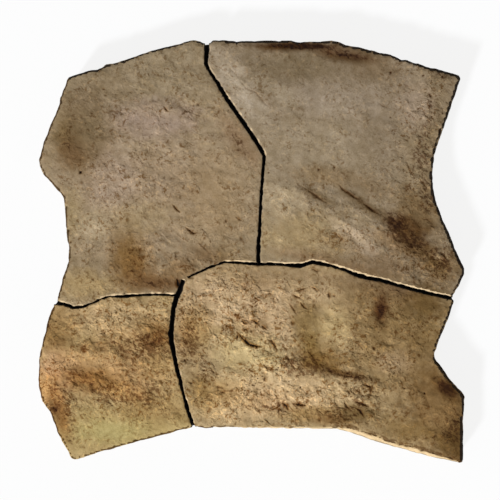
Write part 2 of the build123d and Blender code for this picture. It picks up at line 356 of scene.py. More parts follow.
def refineCracks(bm):
    # two rounds of finer cells along the cracks, to about 0.7 mm
    step = 1.2 * mm
    for enough in (0.03, 0.1):
        faces = [f for f in bm.faces if f.normal.z > 0.9 and len(f.verts) < 30
                 and f.calc_center_median().z > slab["top"] - 2 * slab["faceSlack"]]
        middles = np.array([f.calc_center_median()[:2] for f in faces])
        reach = np.zeros(len(faces))
        for aside, up in ((0, 0), (1, 0), (-1, 0), (0, 1), (0, -1)):
            depth = crackDepth(middles[:, 0] + aside * step, middles[:, 1] + up * step)
            reach = np.maximum(reach, depth)
        edges = list({e for f, deep in zip(faces, reach) if deep > enough for e in f.edges})
        bmesh.ops.subdivide_edges(bm, edges=edges, cuts=1, use_grid_fill=True)
    stage(f"{len(bm.faces)} faces with the cracks refined")


def closeBed(bm):
    # one flat face with many corners, turned down
    rim = [e for e in bm.edges if e.is_boundary]
    bmesh.ops.contextual_create(bm, geom=rim)
    for f in bm.faces:
        if len(f.verts) > 200 and f.normal.z > 0:
            f.normal_flip()


def nearest(tree, points):
    # which of the tree's points is nearest in plan, and how far away it is
    found = [tree.find((x, y, 0)) for x, y, z in points]
    return np.array([index for _, index, _ in found]), np.array([far for _, _, far in found])


def flatTree(points):
    tree = kdtree.KDTree(len(points))
    for index, (x, y, z) in enumerate(points):
        tree.insert((x, y, 0), index)
    tree.balance()
    return tree


def waves(points, frequency, octaves=1, gain=0.7):
    # seeded noise at each point, with a frequency in cycles a metre
    seed = slab["seed"]
    if octaves == 1:
        return np.array([noise.noise((Vector(p) + seed) * frequency) for p in points])
    return np.array([noise.fractal((Vector(p) + seed) * frequency, gain, 2.1, octaves)
                     for p in points])


def setField(data, name, values):
    layer = data.attributes.new(name, "FLOAT", "POINT")
    layer.data.foreach_set("value", values.astype(np.float32))


def fieldAt(x, y):
    # 0 upper left, 1 upper right, 2 lower left, 3 lower right, at places in pixels of the photo
    below = y > np.interp(x, *zip(*acrossLine))
    rightAbove = x > np.interp(y, *zip(*upperLine))
    rightBelow = x > np.interp(y, *zip(*lowerLine))
    return np.where(below, 2 + rightBelow, rightAbove)


def mixTints(x, y, rag, fields):
    # linear colour at each point: the washes laid one over another with ragged edges
    grounds = np.array([linearColor(text) for text in castStone["grounds"]])
    color = grounds[fields]
    for placeX, placeY, wide, tall, turn, tint, strength in washes:
        along, across = inEllipse(x, y, (placeX, placeY), (wide, tall), turn)
        share = smooth(1.45, 0.25, np.hypot(along, across) + rag) * strength
        share = np.where(fields == fieldAt(placeX, placeY), share, 0.0)[:, None]
        color = color * (1 - share) + np.array(linearColor(tint)) * share
    return color


def heading(normal, axis):
    # how much each normal looks along the axis, seen in plan
    return normal[:, axis] / (np.hypot(normal[:, 0], normal[:, 1]) + 1e-6)


def towardLight(normal):
    # the light comes from the lower left of the photo
    flat = np.hypot(normal[:, 0], normal[:, 1]) + 1e-6
    return (-0.6 * normal[:, 0] - 0.8 * normal[:, 1]) / flat


def relief(x, y, plan, rough, wanderX, wanderY):
    # height of the riven face at each point, and the depth of its cracks
    broad = waves(plan, cycles["broad"]) * face["broad"] + waves(plan, cycles["swell"]) * face["swell"]
    slant = np.column_stack([x * 0.8 + y * 0.35 + 2 * wanderX, y * 1.5 - x * 0.3 + 2 * wanderY,
                             np.zeros(len(x))])
    level = waves(slant, cycles["ledge"], 3, 0.8) * 2.4
    step = np.floor(level)
    ledge = (step + smooth(0.25, 0.75, level - step)) * face["ledge"] * rough
    ledge *= smooth(0.0, 0.35, waves(plan + 4.0, cycles["ledgeShare"], 2))
    grit = waves(plan * (1.0, 1.25, 1.0), cycles["grit"], 2, 0.6) * face["grit"] * rough
    pushed = plan + 0.3 * np.column_stack([wanderX, wanderY, wanderX])
    dent = waves(pushed, cycles["dent"], 3) * face["dent"] * (0.4 + rough)
    lump = markSum(lumps, x + 0.4 * wanderX, y + 0.4 * wanderY) * face["lumps"]
    jitterX = waves(plan + 2.0, cycles["jitter"]) * face["jitter"]
    jitterY = waves(plan + 3.0, cycles["jitter"]) * face["jitter"]
    broken = np.clip(1.0 + 0.7 * waves(plan + 6.0, cycles["broken"]), 0.6, 1.2)
    crack = crackDepth(x + jitterX, y + jitterY) * broken
    height = broad + ledge + grit + dent + lump - face["sink"] - crack * face["cracks"]
    return height, crack


def sculpt(data, floorPlan):
    # moves the points, then writes the fields that the material reads
    top = slab["top"]
    count = len(data.vertices)
    points = np.empty(count * 3)
    data.vertices.foreach_get("co", points)
    points = points.reshape(-1, 3)
    normals = np.empty(count * 3, np.float32)
    data.vertex_normals.foreach_get("vector", normals)
    normals = normals.reshape(-1, 3)
    x, y, z = points[:, 0], points[:, 1], points[:, 2]
    onFace = z > top - slab["faceSlack"]
    _, floorDistance = nearest(flatTree(floorPlan), points)
    inJoint = (~onFace & (z > slab["jointFloor"] - slab["floorSlack"])
               & (floorDistance < slab["jointReach"]))
    onSide = ~onFace & ~inJoint
    sideIndex, edgeDistance = nearest(flatTree(points[onSide]), points)
    jointIndex, jointDistance = nearest(flatTree(points[inJoint]), points)
    sideNormal = normals[onSide][sideIndex]
    jointNormal = normals[inJoint][jointIndex]

    rough = np.clip(0.2 + markSum(roughPatches, x, y), 0.12, 0.95)
    plan = np.column_stack([x, y, np.zeros(count)])
    ripple = waves(plan, cycles["ripple"])
    wanderX = ripple * face["ripple"] + waves(plan, cycles["wander"]) * face["wander"]
    wanderY = waves(plan + 5.0, cycles["ripple"]) * face["ripple"]
    wanderY += waves(plan + 5.0, cycles["wander"]) * face["wander"]
    height, crack = relief(x, y, plan, rough, wanderX, wanderY)

    # outer edge: wavy, rubbed round, with chips broken from its arris
    chip = smooth(0.1, 0.75, waves(points, cycles["chip"]) + 0.5 * waves(points, cycles["smallChip"]))
    worn = (onSide & (z > edge["wornFoot"]) & (x > edge["wornLeft"]) & (y < edge["wornBack"])
            & (normals[:, 1] < -0.5) & (normals[:, 2] > 0.1))
    sideWave = waves(points, cycles["side"], 3) * edge["sideWave"]
    sideWave -= chip * smooth(edge["chipFrom"], top, z) * edge["sideChip"]
    sideWave += edge["grow"] + np.where(worn, waves(plan, cycles["worn"], 2) * edge["wornWave"], 0.0)
    jointWave = 0.4 * waves(points, cycles["joint"]) + 0.9 * waves(points, cycles["smallJoint"])
    outward = np.where(onSide, sideWave, np.where(inJoint, jointWave * edge["jointWave"], 0.0))
    rounding = edge["round"] * smooth(edge["roundReach"], 0, edgeDistance)
    rounding += edge["jointRound"] * smooth(edge["jointRoundReach"], 0, jointDistance)
    share = np.where(inJoint, smooth(slab["jointFloor"], top, z), smooth(edge["reliefFrom"], top, z))
    faceDrop = chip * smooth(edge["chipReach"], 0, edgeDistance) * edge["chip"] + rounding
    rise = np.where(onFace, height - faceDrop, height * share)
    x += normals[:, 0] * outward
    y += normals[:, 1] * outward
    z += rise
    data.vertices.foreach_set("co", points.ravel())

    setField(data, "rough", np.where(onSide, 0.35, rough))
    setField(data, "hollow", np.where(onFace, np.clip(crack, 0.0, 1.5), 0.0))
    halo = crackDepth(x + 0.5 * wanderX, y + 0.5 * wanderY, 2.4)
    setField(data, "halo", np.where(onFace, halo, 0.0))
    # joints: painted shade, blacker with depth, and at their mouths away from the light
    shade = 0.3 + 0.2 * smooth(*edge["shadeFrom"], x)
    shade *= smooth(0.1, -0.4, towardLight(jointNormal))
    jointDepth = np.clip((top - z) / edge["jointShadeDepth"] + shade, 0, 1)
    setField(data, "jointDepth", np.where(inJoint, jointDepth, 0.0))
    # painted shade along the outline: its width, less toward the light, minus the distance to the edge
    rimWidth = 0.8 - 0.6 * np.clip(towardLight(sideNormal), 0, 1)
    rimWidth += 1.8 * np.clip(heading(sideNormal, 0), 0, 1)
    rimWidth += np.where(x > edge["right"], 1.2, 0.4) * np.clip(heading(sideNormal, 1), 0, 1)
    rim = np.where(onFace, rimWidth - edgeDistance / mm, np.where(z > edge["mouth"], 3.0, -3.0))
    setField(data, "rim", np.where(inJoint, -3.0, np.clip(rim, -3.0, 3.0)))
    setField(data, "rimSun", towardLight(sideNormal))
    _, byWorn = nearest(flatTree(points[worn]), points)
    # the worn edge's cream: paler broken stone, with painted highlight where it faces the light
    setField(data, "wornEdge", np.where(worn, smooth(*edge["wornShine"], z), 0.0))
    # painted shade in notches on the face just above the worn edge, to the right
    undercut = smooth(*edge["undercutReach"], byWorn)
    setField(data, "undercut", np.where(onFace & (x > edge["right"]), undercut, 0.0))
    # painted highlight on the lip of a joint where it faces the light, brightest where it faces down,
    # toward -y, and stronger to the right
    onLip = (inJoint & (z > edge["mouth"])) | (onFace & (jointDistance < edge["lipHighlightReach"]))
    lit = smooth(0.2, 0.75, towardLight(jointNormal))
    lit *= 0.8 + 0.2 * smooth(0.5, 0.9, -heading(jointNormal, 1))
    lit *= 0.65 + 0.35 * smooth(*edge["lipHighlightFrom"], x)
    setField(data, "lip", np.where(onLip, lit * (1.0 + 0.9 * waves(plan, cycles["lip"])), 0.0))
    # under the antiqued face the walls and the bed are the plain cast body
    plainShare = np.where(onSide, smooth(*edge["plain"], z), 0.0)
    for name, spots in stains.items():
        setField(data, name, np.clip(markSum(spots, x, y), 0.0, 1.5) * (1 - plainShare))
    rag = 0.25 * ripple + 0.2 * waves(plan + 9.0, cycles["tintEdge"], 2)
    tint = mixTints(x + wanderX, y + wanderY, rag, fieldAt(*toPhoto(x, y)))
    body = np.array(linearColor(castStone["body"]))
    tint = tint * (1 - plainShare)[:, None] + body * plainShare[:, None]
    layer = data.attributes.new("tint", "FLOAT_COLOR", "POINT")
    layer.data.foreach_set("color", tint.astype(np.float32).ravel())


# Wet-cast concrete, pigmented and antiqued: matt, fine sandy grain, pale where it is chipped (partly
# painted highlight), brown and umber washes that settle in the low places, near black painted shade
# down in the joints, painted highlight on ridges, peaks and joint lips, painted shade along the
# outline.
castStone = {
    # ground of each field: upper left, upper right, lower left, lower right
    "grounds": ["#8c7b61", "#84755f", "#a28c62", "#9c8764"],
    # of these: the dark brown speck colour also lays painted shade above the worn edge, the pale lays
    # painted highlight on the ridges, the last is the joints' lips' painted highlight
    "colors": {"umber": "#331b04", "speck": "#4f3212", "pale": "#ccb690", "lip": "#dec6a0",
               # next: the worn edge's cream, paler stone with painted highlight; the outline's painted
               # shade; near black, painted shade in the joints and deepest cracks
               "rubbedHighlight": "#c2aa83", "rim": "#120c07", "black": "#0b0806", "brownGlaze": "#94704a",
               "rustGlaze": "#d0a468", "soilGlaze": "#a6865e", "dabGlaze": "#c2ab8c",
               # the edge glaze darkens the line of painted shade on the sides toward the light
               "edgeShadeGlaze": "#85755c", "soil": "#85603a"},
    "body": "#96876f",
    "rubAndHighlightGain": (1.4, 1.34, 1.25, 1.0),  # how much lighter the rubbed spots are, and the raised peaks, where it is a painted highlight
    "surface": {"Roughness": 0.88, "IOR": 1.5, "Specular IOR Level": 0.12},
    # places: the size of the noise that pushes them and how far, in mm, then the strokes' shape
    "pushSize": 17, "push": 12, "stretch": 1.7, "strokeTurn": -35,
    # patterns: size in mm, detail, roughness, and the places that it reads
    "patterns": {
        "cloud": (62, 3, 0.6, "still"), "blotch": (13, 6, 0.7, "still"),
        "sand": (1.7, 3, 0.7, "still"), "patch": (29, 3, 0.6, "pushed"),
        "lump": (18, 3, 0.6, "still"), "strokes": (7.5, 3, 0.6, "stroked"),
        "grit": (3, 4, 0.7, "still"), "dab": (5.9, 3, 0.65, "pushed"),
        "speck": (3.3, 2, 0.5, "still"), "swarm": (33, 3, 0.6, "still"),
        "rag": (14, 7, 0.72, "still"), "soilRag": (4.3, 5, 0.7, "stroked"),
    },
    # tone of the ground: from these patterns, each between a low and a high
    "tones": {"cloud": (0.96, 1.12), "blotch": (0.82, 1.22), "sand": (0.88, 1.15)},
    # range of a noise, how red and blue lean with the tone, and the least share of the dabs
    "noiseRange": (0.3, 0.7), "redPower": 0.85, "bluePower": 1.35, "leastDab": 0.3,
    # share of each pattern in the grain
    "grain": {"lump": 0.3, "strokes": 0.4, "grit": 0.3},
    # heights of the bump in mm, then its least strength
    "bump": {"grain": 3.9, "sand": 0.32, "speck": -0.8, "least": 0.12},
    # shares of patches: pattern, its range, and the share at both ends of that; the notch share breaks
    # up the painted shade above the worn edge
    "shares": {"patch": ("patch", 0.38, 0.62, 0.3, 1.45), "swarm": ("swarm", 0.45, 0.62, 0.0, 1.0),
               "notch": ("strokes", 0.54, 0.44, 0.0, 1.0)},
    # masks: what each reads, where it starts and is full, and how strongly it is laid
    "masks": {
        # peaks lays a painted highlight where the grain rises
        "pits": ("grain", 0.475, 0.37, "grainRough"), "peaks": ("grain", 0.53, 0.66, "grainRough"),
        "dabs": ("dab", 0.54, 0.64, "dabShare"), "rubs": ("dab", 0.45, 0.34, "dabShare"),
        "specks": ("speck", 0.60, 0.68, "swarm"), "halo": ("halo", 0.05, 1.1, 1.0),
        # deep lays painted shade, near black, in the deepest cracks and holes
        "hollow": ("hollow", 0.16, 1.15, 1.0), "deep": ("hollow", 0.9, 1.4, 0.9),
        "wornEdge": ("wornRagged", 0.35, 0.75, 0.9), "undercut": ("undercut", 0.1, 0.8, 0.65),
        # painted light: a highlight on the lips of the joints, and shade down the joints
        "lip": ("lip", 0.35, 0.85, 0.8), "jointShade": ("jointDepth", 0.2, 0.5, 1.0),
    },
    # painted shade line and worn edge: how much the strokes break them up, and the line's range
    "rim": {"rag": 3.0, "from": 1.1, "full": 2.0, "strength": 0.95}, "wornHighlightRag": 1.2,
    # stains, and the pale painted highlight on the ridges: field, pattern that breaks it up, how
    # strongly, range, colour, blend, strength
    "stains": [
        ("paleWash", "rag", 0.7, (0.05, 1.0), "pale", "MIX", 0.5),
        ("rust", "rag", 0.7, (0.05, 1.0), "rustGlaze", "MULTIPLY", 0.9),
        ("umber", "rag", 0.8, (0.05, 1.0), "brownGlaze", "MULTIPLY", 0.7),
        ("umber", "soilRag", 1.6, (0.4, 0.95), "brownGlaze", "MULTIPLY", 0.8),
        ("soil", "soilRag", 2.8, (0.5, 1.1), "soil", "MULTIPLY", 0.75),
    ],
}
# broad tints, a few of them painted shade, in pixels of the photo: (x, y, half width, half height,
# turn, colour, strength)
washes = [
    (140, 75, 110, 45, 12, "#877860", 0.9), (100, 95, 40, 26, 30, "#7f6e55", 0.8),
    (150, 190, 100, 70, 0, "#948169", 0.9), (150, 118, 50, 20, 0, "#938173", 0.8),
    (112, 175, 26, 40, 0, "#9c8975", 0.7), (74, 140, 20, 36, 20, "#705b38", 0.9),
    (72, 153, 16, 17, 0, "#664c2f", 0.75), (92, 138, 26, 32, 15, "#735e45", 0.6),
    (238, 140, 12, 36, 33, "#836c53", 0.7),
    (215, 200, 36, 50, 0, "#917b5b", 0.6), (85, 285, 36, 16, 0, "#9f885f", 0.8),
    (130, 258, 22, 34, 10, "#785c32", 0.9), (150, 280, 30, 12, 0, "#705330", 0.8),
    (330, 85, 140, 55, -5, "#7e6f5b", 0.9), (290, 66, 60, 20, 0, "#6e5f48", 0.8),
    (240, 88, 14, 50, 33, "#a0927e", 0.9), (340, 100, 60, 18, -5, "#938573", 0.7),
    (320, 145, 90, 36, 0, "#8e7f68", 0.9), (385, 130, 36, 40, 0, "#7a6b57", 0.6),
    (300, 235, 60, 26, 0, "#9c8865", 0.9), (278, 200, 26, 22, -20, "#a08f73", 0.8),
    # (325, 176), (318, 195), (366, 206) and (375, 186) are painted shadow under the ledge
    (356, 238, 28, 13, -32, "#a9967e", 0.75), (325, 176, 36, 10, -8, "#816c4e", 0.7),
    (318, 195, 20, 5, -32, "#6d5a3e", 0.7), (366, 206, 34, 6, -33, "#69563b", 0.8),
    (375, 186, 40, 12, -20, "#7b6950", 0.7), (425, 150, 24, 90, -8, "#7f6e54", 0.85),
    (418, 215, 30, 26, -30, "#6a5537", 0.8), (396, 224, 15, 11, -40, "#553c1f", 0.8),
    (416, 248, 34, 13, -25, "#5f4727", 0.85), (408, 231, 20, 14, -30, "#553d20", 0.75),
    (440, 268, 24, 20, 0, "#69512e", 0.8),
    (290, 46, 46, 5, 0, "#4c3417", 1.0), (350, 57, 30, 7, -8, "#4e3618", 0.9),
    (325, 262, 60, 6, -14, "#7c664a", 0.6), (368, 272, 40, 6, -16, "#7c6945", 0.6),
    (110, 315, 90, 24, 0, "#ad946e", 0.9), (105, 372, 80, 26, 0, "#a7865c", 0.9),
    (52, 372, 16, 30, 0, "#bf9a74", 0.8), (152, 332, 22, 18, 0, "#8c6e42", 0.8),
    (92, 380, 34, 12, -8, "#92692e", 0.6), (158, 366, 18, 14, 0, "#a48758", 0.6),
    (125, 430, 90, 24, 0, "#a59060", 1.0), (110, 432, 36, 12, 0, "#a79a66", 0.7),
    (58, 408, 13, 26, 24, "#8b6535", 0.65), (150, 408, 40, 14, 0, "#957749", 0.6),
    (250, 310, 90, 50, 0, "#ac9371", 0.9), (205, 290, 24, 18, 0, "#af9776", 0.7),
    (195, 330, 18, 26, 0, "#947645", 0.7), (252, 358, 44, 26, -25, "#b39f72", 0.9),
    (285, 390, 60, 24, -5, "#c0a57e", 0.9), (218, 398, 28, 20, 0, "#b49665", 0.8),
    (306, 328, 16, 28, 10, "#80693f", 0.8), (312, 362, 12, 10, -30, "#735628", 0.8),
    (345, 373, 26, 5, -14, "#6b4e29", 0.75), (332, 325, 22, 20, 0, "#b19b6f", 0.8),
    (312, 413, 38, 10, 0, "#8f7140", 0.7), (352, 415, 28, 12, 0, "#745c36", 0.8),
    (392, 345, 50, 50, 0, "#806843", 0.85), (390, 290, 60, 16, -10, "#695239", 0.9),
    (381, 312, 9, 18, 0, "#40240b", 0.9), (425, 305, 30, 22, 0, "#5d4725", 0.9),
    (405, 362, 26, 12, 0, "#947e5e", 0.6), (440, 400, 44, 60, 0, "#6b512e", 0.9),
    (447, 390, 18, 10, -35, "#533918", 0.8), (455, 440, 22, 40, 0, "#563e1b", 0.9),
    (405, 430, 36, 14, -12, "#775e35", 0.7),
    (364, 45, 34, 9, -10, "#543e21", 0.8), (416, 105, 18, 26, 0, "#948370", 0.8),
    (82, 112, 20, 26, 20, "#6d5b43", 0.7), (212, 257, 26, 9, -20, "#6d5538", 0.75),
    (440, 418, 12, 14, 0, "#7a623d", 0.5), (58, 318, 22, 18, 0, "#917449", 0.7),
    (428, 336, 22, 20, 0, "#705a37", 0.7), (250, 402, 34, 18, 0, "#b99c73", 0.6),
    (65, 362, 16, 12, 0, "#b89368", 0.6), (92, 128, 20, 24, 0, "#726248", 0.6),
    (388, 240, 22, 10, -30, "#836b4d", 0.6), (182, 268, 18, 14, 0, "#735938", 0.7),
    (340, 264, 60, 8, -14, "#755e48", 0.6), (320, 350, 22, 20, 0, "#7b6033", 0.5),
    (235, 413, 26, 10, 0, "#c0a67e", 0.7), (372, 66, 30, 14, -8, "#6c5940", 0.6),
    (55, 335, 20, 20, 0, "#896c41", 0.5), (334, 240, 22, 9, -20, "#816b4b", 0.7),
    (228, 308, 18, 15, 0, "#c8af8a", 0.6), (245, 262, 14, 6, 0, "#776446", 0.5),
    # (300, 276) and (430, 292) are painted shade on the slopes below the cross joint
    (52, 390, 10, 16, 0, "#a88553", 0.6), (300, 276, 90, 9, -6, "#887355", 0.6),
    (430, 292, 26, 10, -14, "#533f1f", 0.8), (375, 315, 36, 26, 0, "#78613d", 0.5),
    (200, 388, 12, 16, 0, "#84693d", 0.7),
    (92, 229, 14, 16, 0, "#a29076", 0.6), (392, 362, 18, 12, 0, "#9c8566", 0.6),
    (385, 264, 38, 12, -14, "#695236", 0.6), (308, 314, 16, 16, 0, "#755f3a", 0.55),
    (365, 297, 30, 16, -12, "#735c3a", 0.5), (381, 308, 8, 15, 0, "#45260c", 0.85),
    # (254, 284) is painted shade on the slope below the cross joint
    (254, 284, 20, 10, 0, "#8b7353", 0.65), (342, 336, 10, 12, -20, "#c6ae82", 0.4),
    (328, 363, 30, 12, -14, "#6e5227", 0.75),
    (312, 342, 9, 14, 10, "#7b6234", 0.5), (414, 231, 20, 14, -25, "#4b3419", 0.75),
    (284, 98, 18, 12, -20, "#93856f", 0.55), (322, 254, 34, 9, -8, "#7f6a4a", 0.5),
    (337, 391, 12, 9, 0, "#c2a97f", 0.5), (362, 413, 16, 9, -10, "#66512f", 0.6),
    (440, 412, 22, 18, 0, "#836843", 0.6), (418, 352, 12, 22, 10, "#765f3c", 0.55),
    (44, 386, 12, 16, 10, "#c79e68", 0.7), (50, 336, 26, 13, 0, "#7a5e36", 0.65),
    (120, 333, 26, 9, -10, "#b6966a", 0.55), (122, 393, 24, 8, -8, "#b28a52", 0.5),
    (123, 150, 18, 14, 0, "#9b8a73", 0.5),
    (160, 283, 24, 7, 0, "#66492b", 0.6), (229, 253, 16, 9, 0, "#7e6949", 0.5),
    (70, 214, 14, 28, 0, "#92805a", 0.5), (138, 216, 40, 18, 0, "#97845f", 0.45),
    (93, 226, 16, 18, 0, "#ab9a7c", 0.5), (204, 226, 16, 14, 0, "#9f8a6c", 0.55),
    (270, 86, 22, 10, -30, "#93856f", 0.6), (442, 70, 14, 9, -12, "#5f4f3a", 0.6),
]
# stains, and the pale painted highlight on the ridges, in pixels of the photo: (x, y, half width, half
# height, turn, strength)
stains = {
    "umber": [
        (74, 146, 16, 22, 20, 0.3), (290, 45, 44, 4, 0, 0.7), (354, 56, 24, 5, -8, 0.8),
        (394, 223, 11, 7, -40, 0.7), (408, 241, 20, 5, -15, 0.4), (381, 310, 5, 9, 0, 0.7),
        (345, 374, 30, 4, -12, 0.6), (446, 388, 13, 7, -40, 1.1), (134, 272, 12, 9, 0, 0.25),
        (150, 283, 22, 5, 0, 0.4), (150, 340, 16, 8, 0, 0.3), (92, 384, 26, 5, -10, 0.4),
        (52, 408, 6, 12, 25, 0.7), (72, 440, 7, 8, 0, 0.35), (215, 392, 14, 6, 0, 0.25),
        (290, 362, 8, 10, 0, 0.5), (398, 284, 30, 6, -12, 0.5), (310, 46, 24, 3, 0, 0.6),
    ],
    "rust": [
        (130, 262, 26, 28, 20, 0.4), (85, 376, 44, 12, -5, 0.4), (57, 405, 10, 26, 20, 0.5),
        (158, 335, 14, 20, 0, 0.5), (275, 400, 50, 14, 0, 0.3), (62, 434, 12, 14, 0, 0.4),
        (245, 145, 10, 30, 33, 0.25), (222, 390, 16, 10, 0, 0.2), (100, 345, 60, 10, 0, 0.4),
        (330, 50, 20, 8, 0, 0.6), (250, 325, 22, 14, 0, 0.35), (330, 420, 24, 6, 0, 0.5),
        (185, 330, 10, 30, 0, 0.4), (140, 395, 20, 10, 0, 0.4),
    ],
    "soil": [
        (84, 378, 40, 18, -10, 0.65), (62, 405, 12, 26, 25, 0.8), (150, 345, 26, 20, 0, 0.8),
        (150, 392, 26, 18, 0, 0.6), (110, 400, 36, 12, 0, 0.5), (70, 438, 10, 12, 0, 0.5),
        (110, 345, 60, 14, -8, 0.5), (170, 415, 14, 12, 0, 0.5), (192, 335, 12, 26, 0, 0.8),
        (205, 370, 20, 22, 0, 0.5), (225, 392, 22, 10, 0, 0.45), (275, 407, 44, 9, 0, 0.75),
        (290, 365, 20, 16, 0, 0.7), (236, 334, 5, 4, 0, 0.5), (272, 343, 8, 6, -45, 0.35),
        (312, 365, 18, 18, 0, 0.6), (345, 374, 30, 6, -12, 0.7), (357, 400, 20, 18, 0, 0.7),
        (381, 308, 8, 14, 0, 0.8), (300, 294, 20, 12, 0, 0.4), (455, 430, 12, 36, 0, 0.55),
        (440, 430, 18, 14, 0, 0.5), (395, 290, 40, 6, -12, 0.6), (330, 415, 20, 8, 0, 0.6),
        (432, 110, 16, 40, -10, 0.6), (420, 165, 14, 30, 10, 0.7), (428, 205, 12, 20, 0, 0.6),
        (396, 222, 15, 12, -40, 1.0), (412, 243, 26, 11, -20, 0.9), (443, 265, 14, 16, 0, 0.8),
        (285, 198, 20, 14, 0, 0.4), (300, 182, 20, 8, -30, 0.4), (290, 46, 36, 4, 0, 0.8),
        (340, 53, 26, 6, -8, 0.8), (357, 195, 30, 8, -35, 0.5), (440, 75, 16, 8, 0, 0.4),
        (66, 140, 14, 30, 20, 0.5), (95, 165, 14, 10, 0, 0.5), (110, 130, 24, 20, 0, 0.35),
        (240, 145, 8, 30, 33, 0.7), (180, 115, 20, 12, 0, 0.4), (195, 110, 14, 10, 0, 0.5),
        (132, 268, 20, 16, 0, 0.5), (155, 283, 24, 6, 0, 0.6), (225, 215, 26, 24, 0, 0.35),
        (80, 92, 12, 20, 20, 0.4),
    ],
    # painted highlight laid over the raised ridges and lumps
    "paleWash": [
        (350, 230, 24, 3.5, -38, 0.35), (250, 355, 36, 20, -25, 0.4), (155, 110, 30, 10, -10, 0.4),
        (285, 385, 30, 14, 0, 0.5), (110, 312, 30, 10, -15, 0.4), (345, 368, 10, 4, -20, 0.6),
        (355, 398, 16, 4, 0, 0.6), (300, 398, 12, 3, 0, 0.7), (286, 194, 12, 6, -20, 0.4),
        (442, 257, 6, 3, 0, 0.8), (395, 340, 16, 10, -30, 0.3), (300, 292, 16, 8, -20, 0.3),
    ],
}


